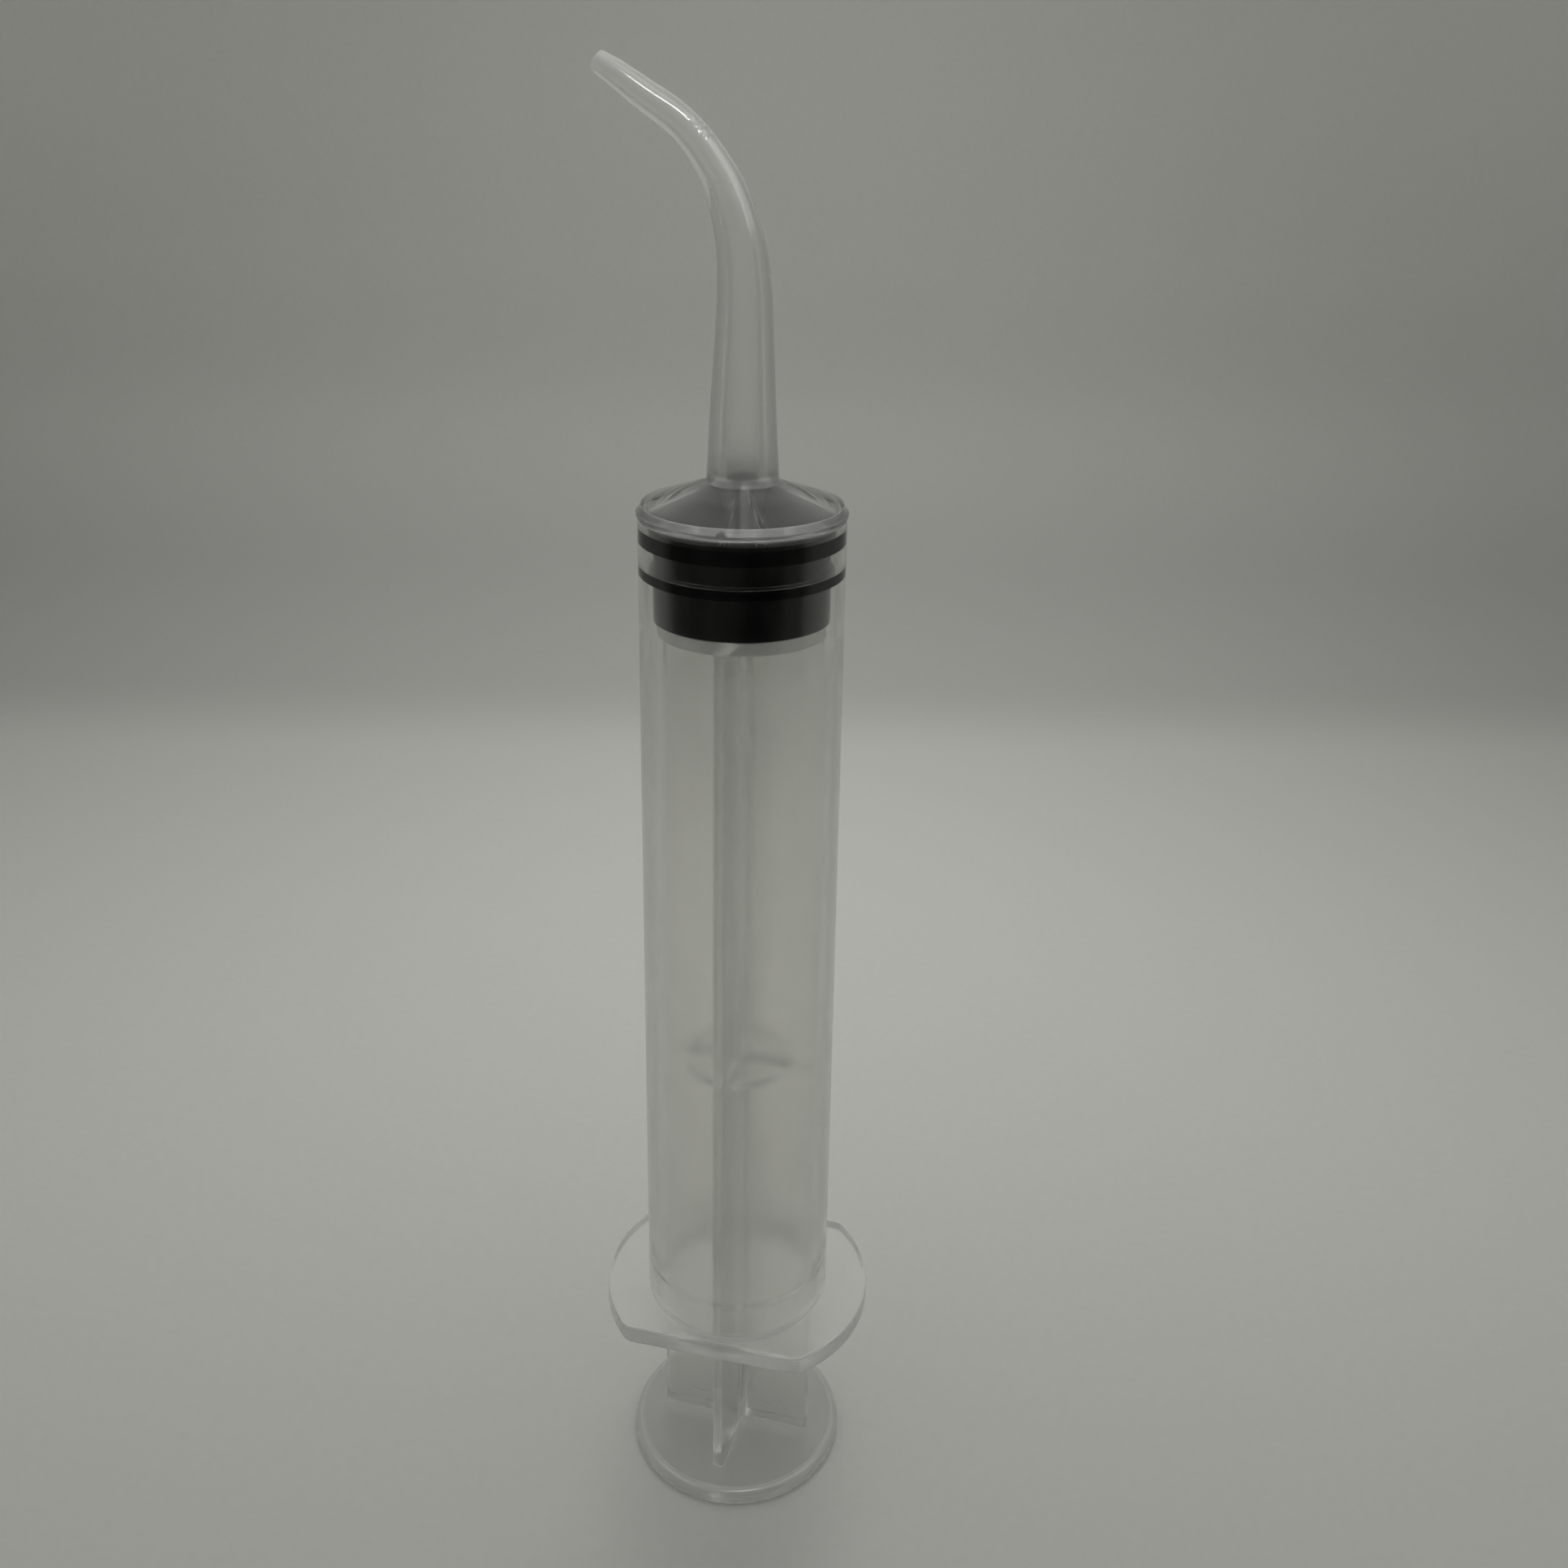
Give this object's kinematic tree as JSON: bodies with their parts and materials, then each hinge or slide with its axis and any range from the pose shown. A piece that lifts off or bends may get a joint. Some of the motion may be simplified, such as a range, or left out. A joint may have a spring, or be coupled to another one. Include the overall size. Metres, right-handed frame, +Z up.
{
  "type": "curved-tip syringe",
  "caption": "Clear plastic syringe with a tapered, bent nozzle, two-flat finger flange, cross-ribbed plunger rod and black rubber stopper, for injecting or basting liquids.",
  "frame": {"origin": "centre of the thumb rest's flat underside, on the axis of the rod and barrel", "axes": "+Z up along the syringe axis towards the nozzle; +X along the long direction of the finger flange; the nozzle bends towards -X; the flange's flats face +Y and -Y"},
  "size_m": [0.0256, 0.0208, 0.1329],
  "materials": {
    "clear_barrel_plastic": "clear, slightly milky moulded polypropylene, glossy",
    "black_rubber": "smooth black moulded rubber, lightly lubricated",
    "clear_rod_plastic": "translucent moulded polypropylene, glossy"
  },
  "bodies": {
    "rod_body": {"plunger_rod": "clear_rod_plastic"},
    "stopper_body": {"rubber_stopper": "black_rubber"},
    "barrel_body": {"barrel": "clear_barrel_plastic"}
  },
  "joints": [
    {"name": "stopper_turn", "type": "hinge", "parent": "rod_body", "child": "stopper_body", "pos_m": [0, 0, 0.0885], "axis": [0, 0, 1], "continuous": true},
    {"name": "barrel_slide", "type": "slide", "parent": "stopper_body", "child": "barrel_body", "axis": [0, 0, 1], "range_m": [0, 0.064]}
  ]
}
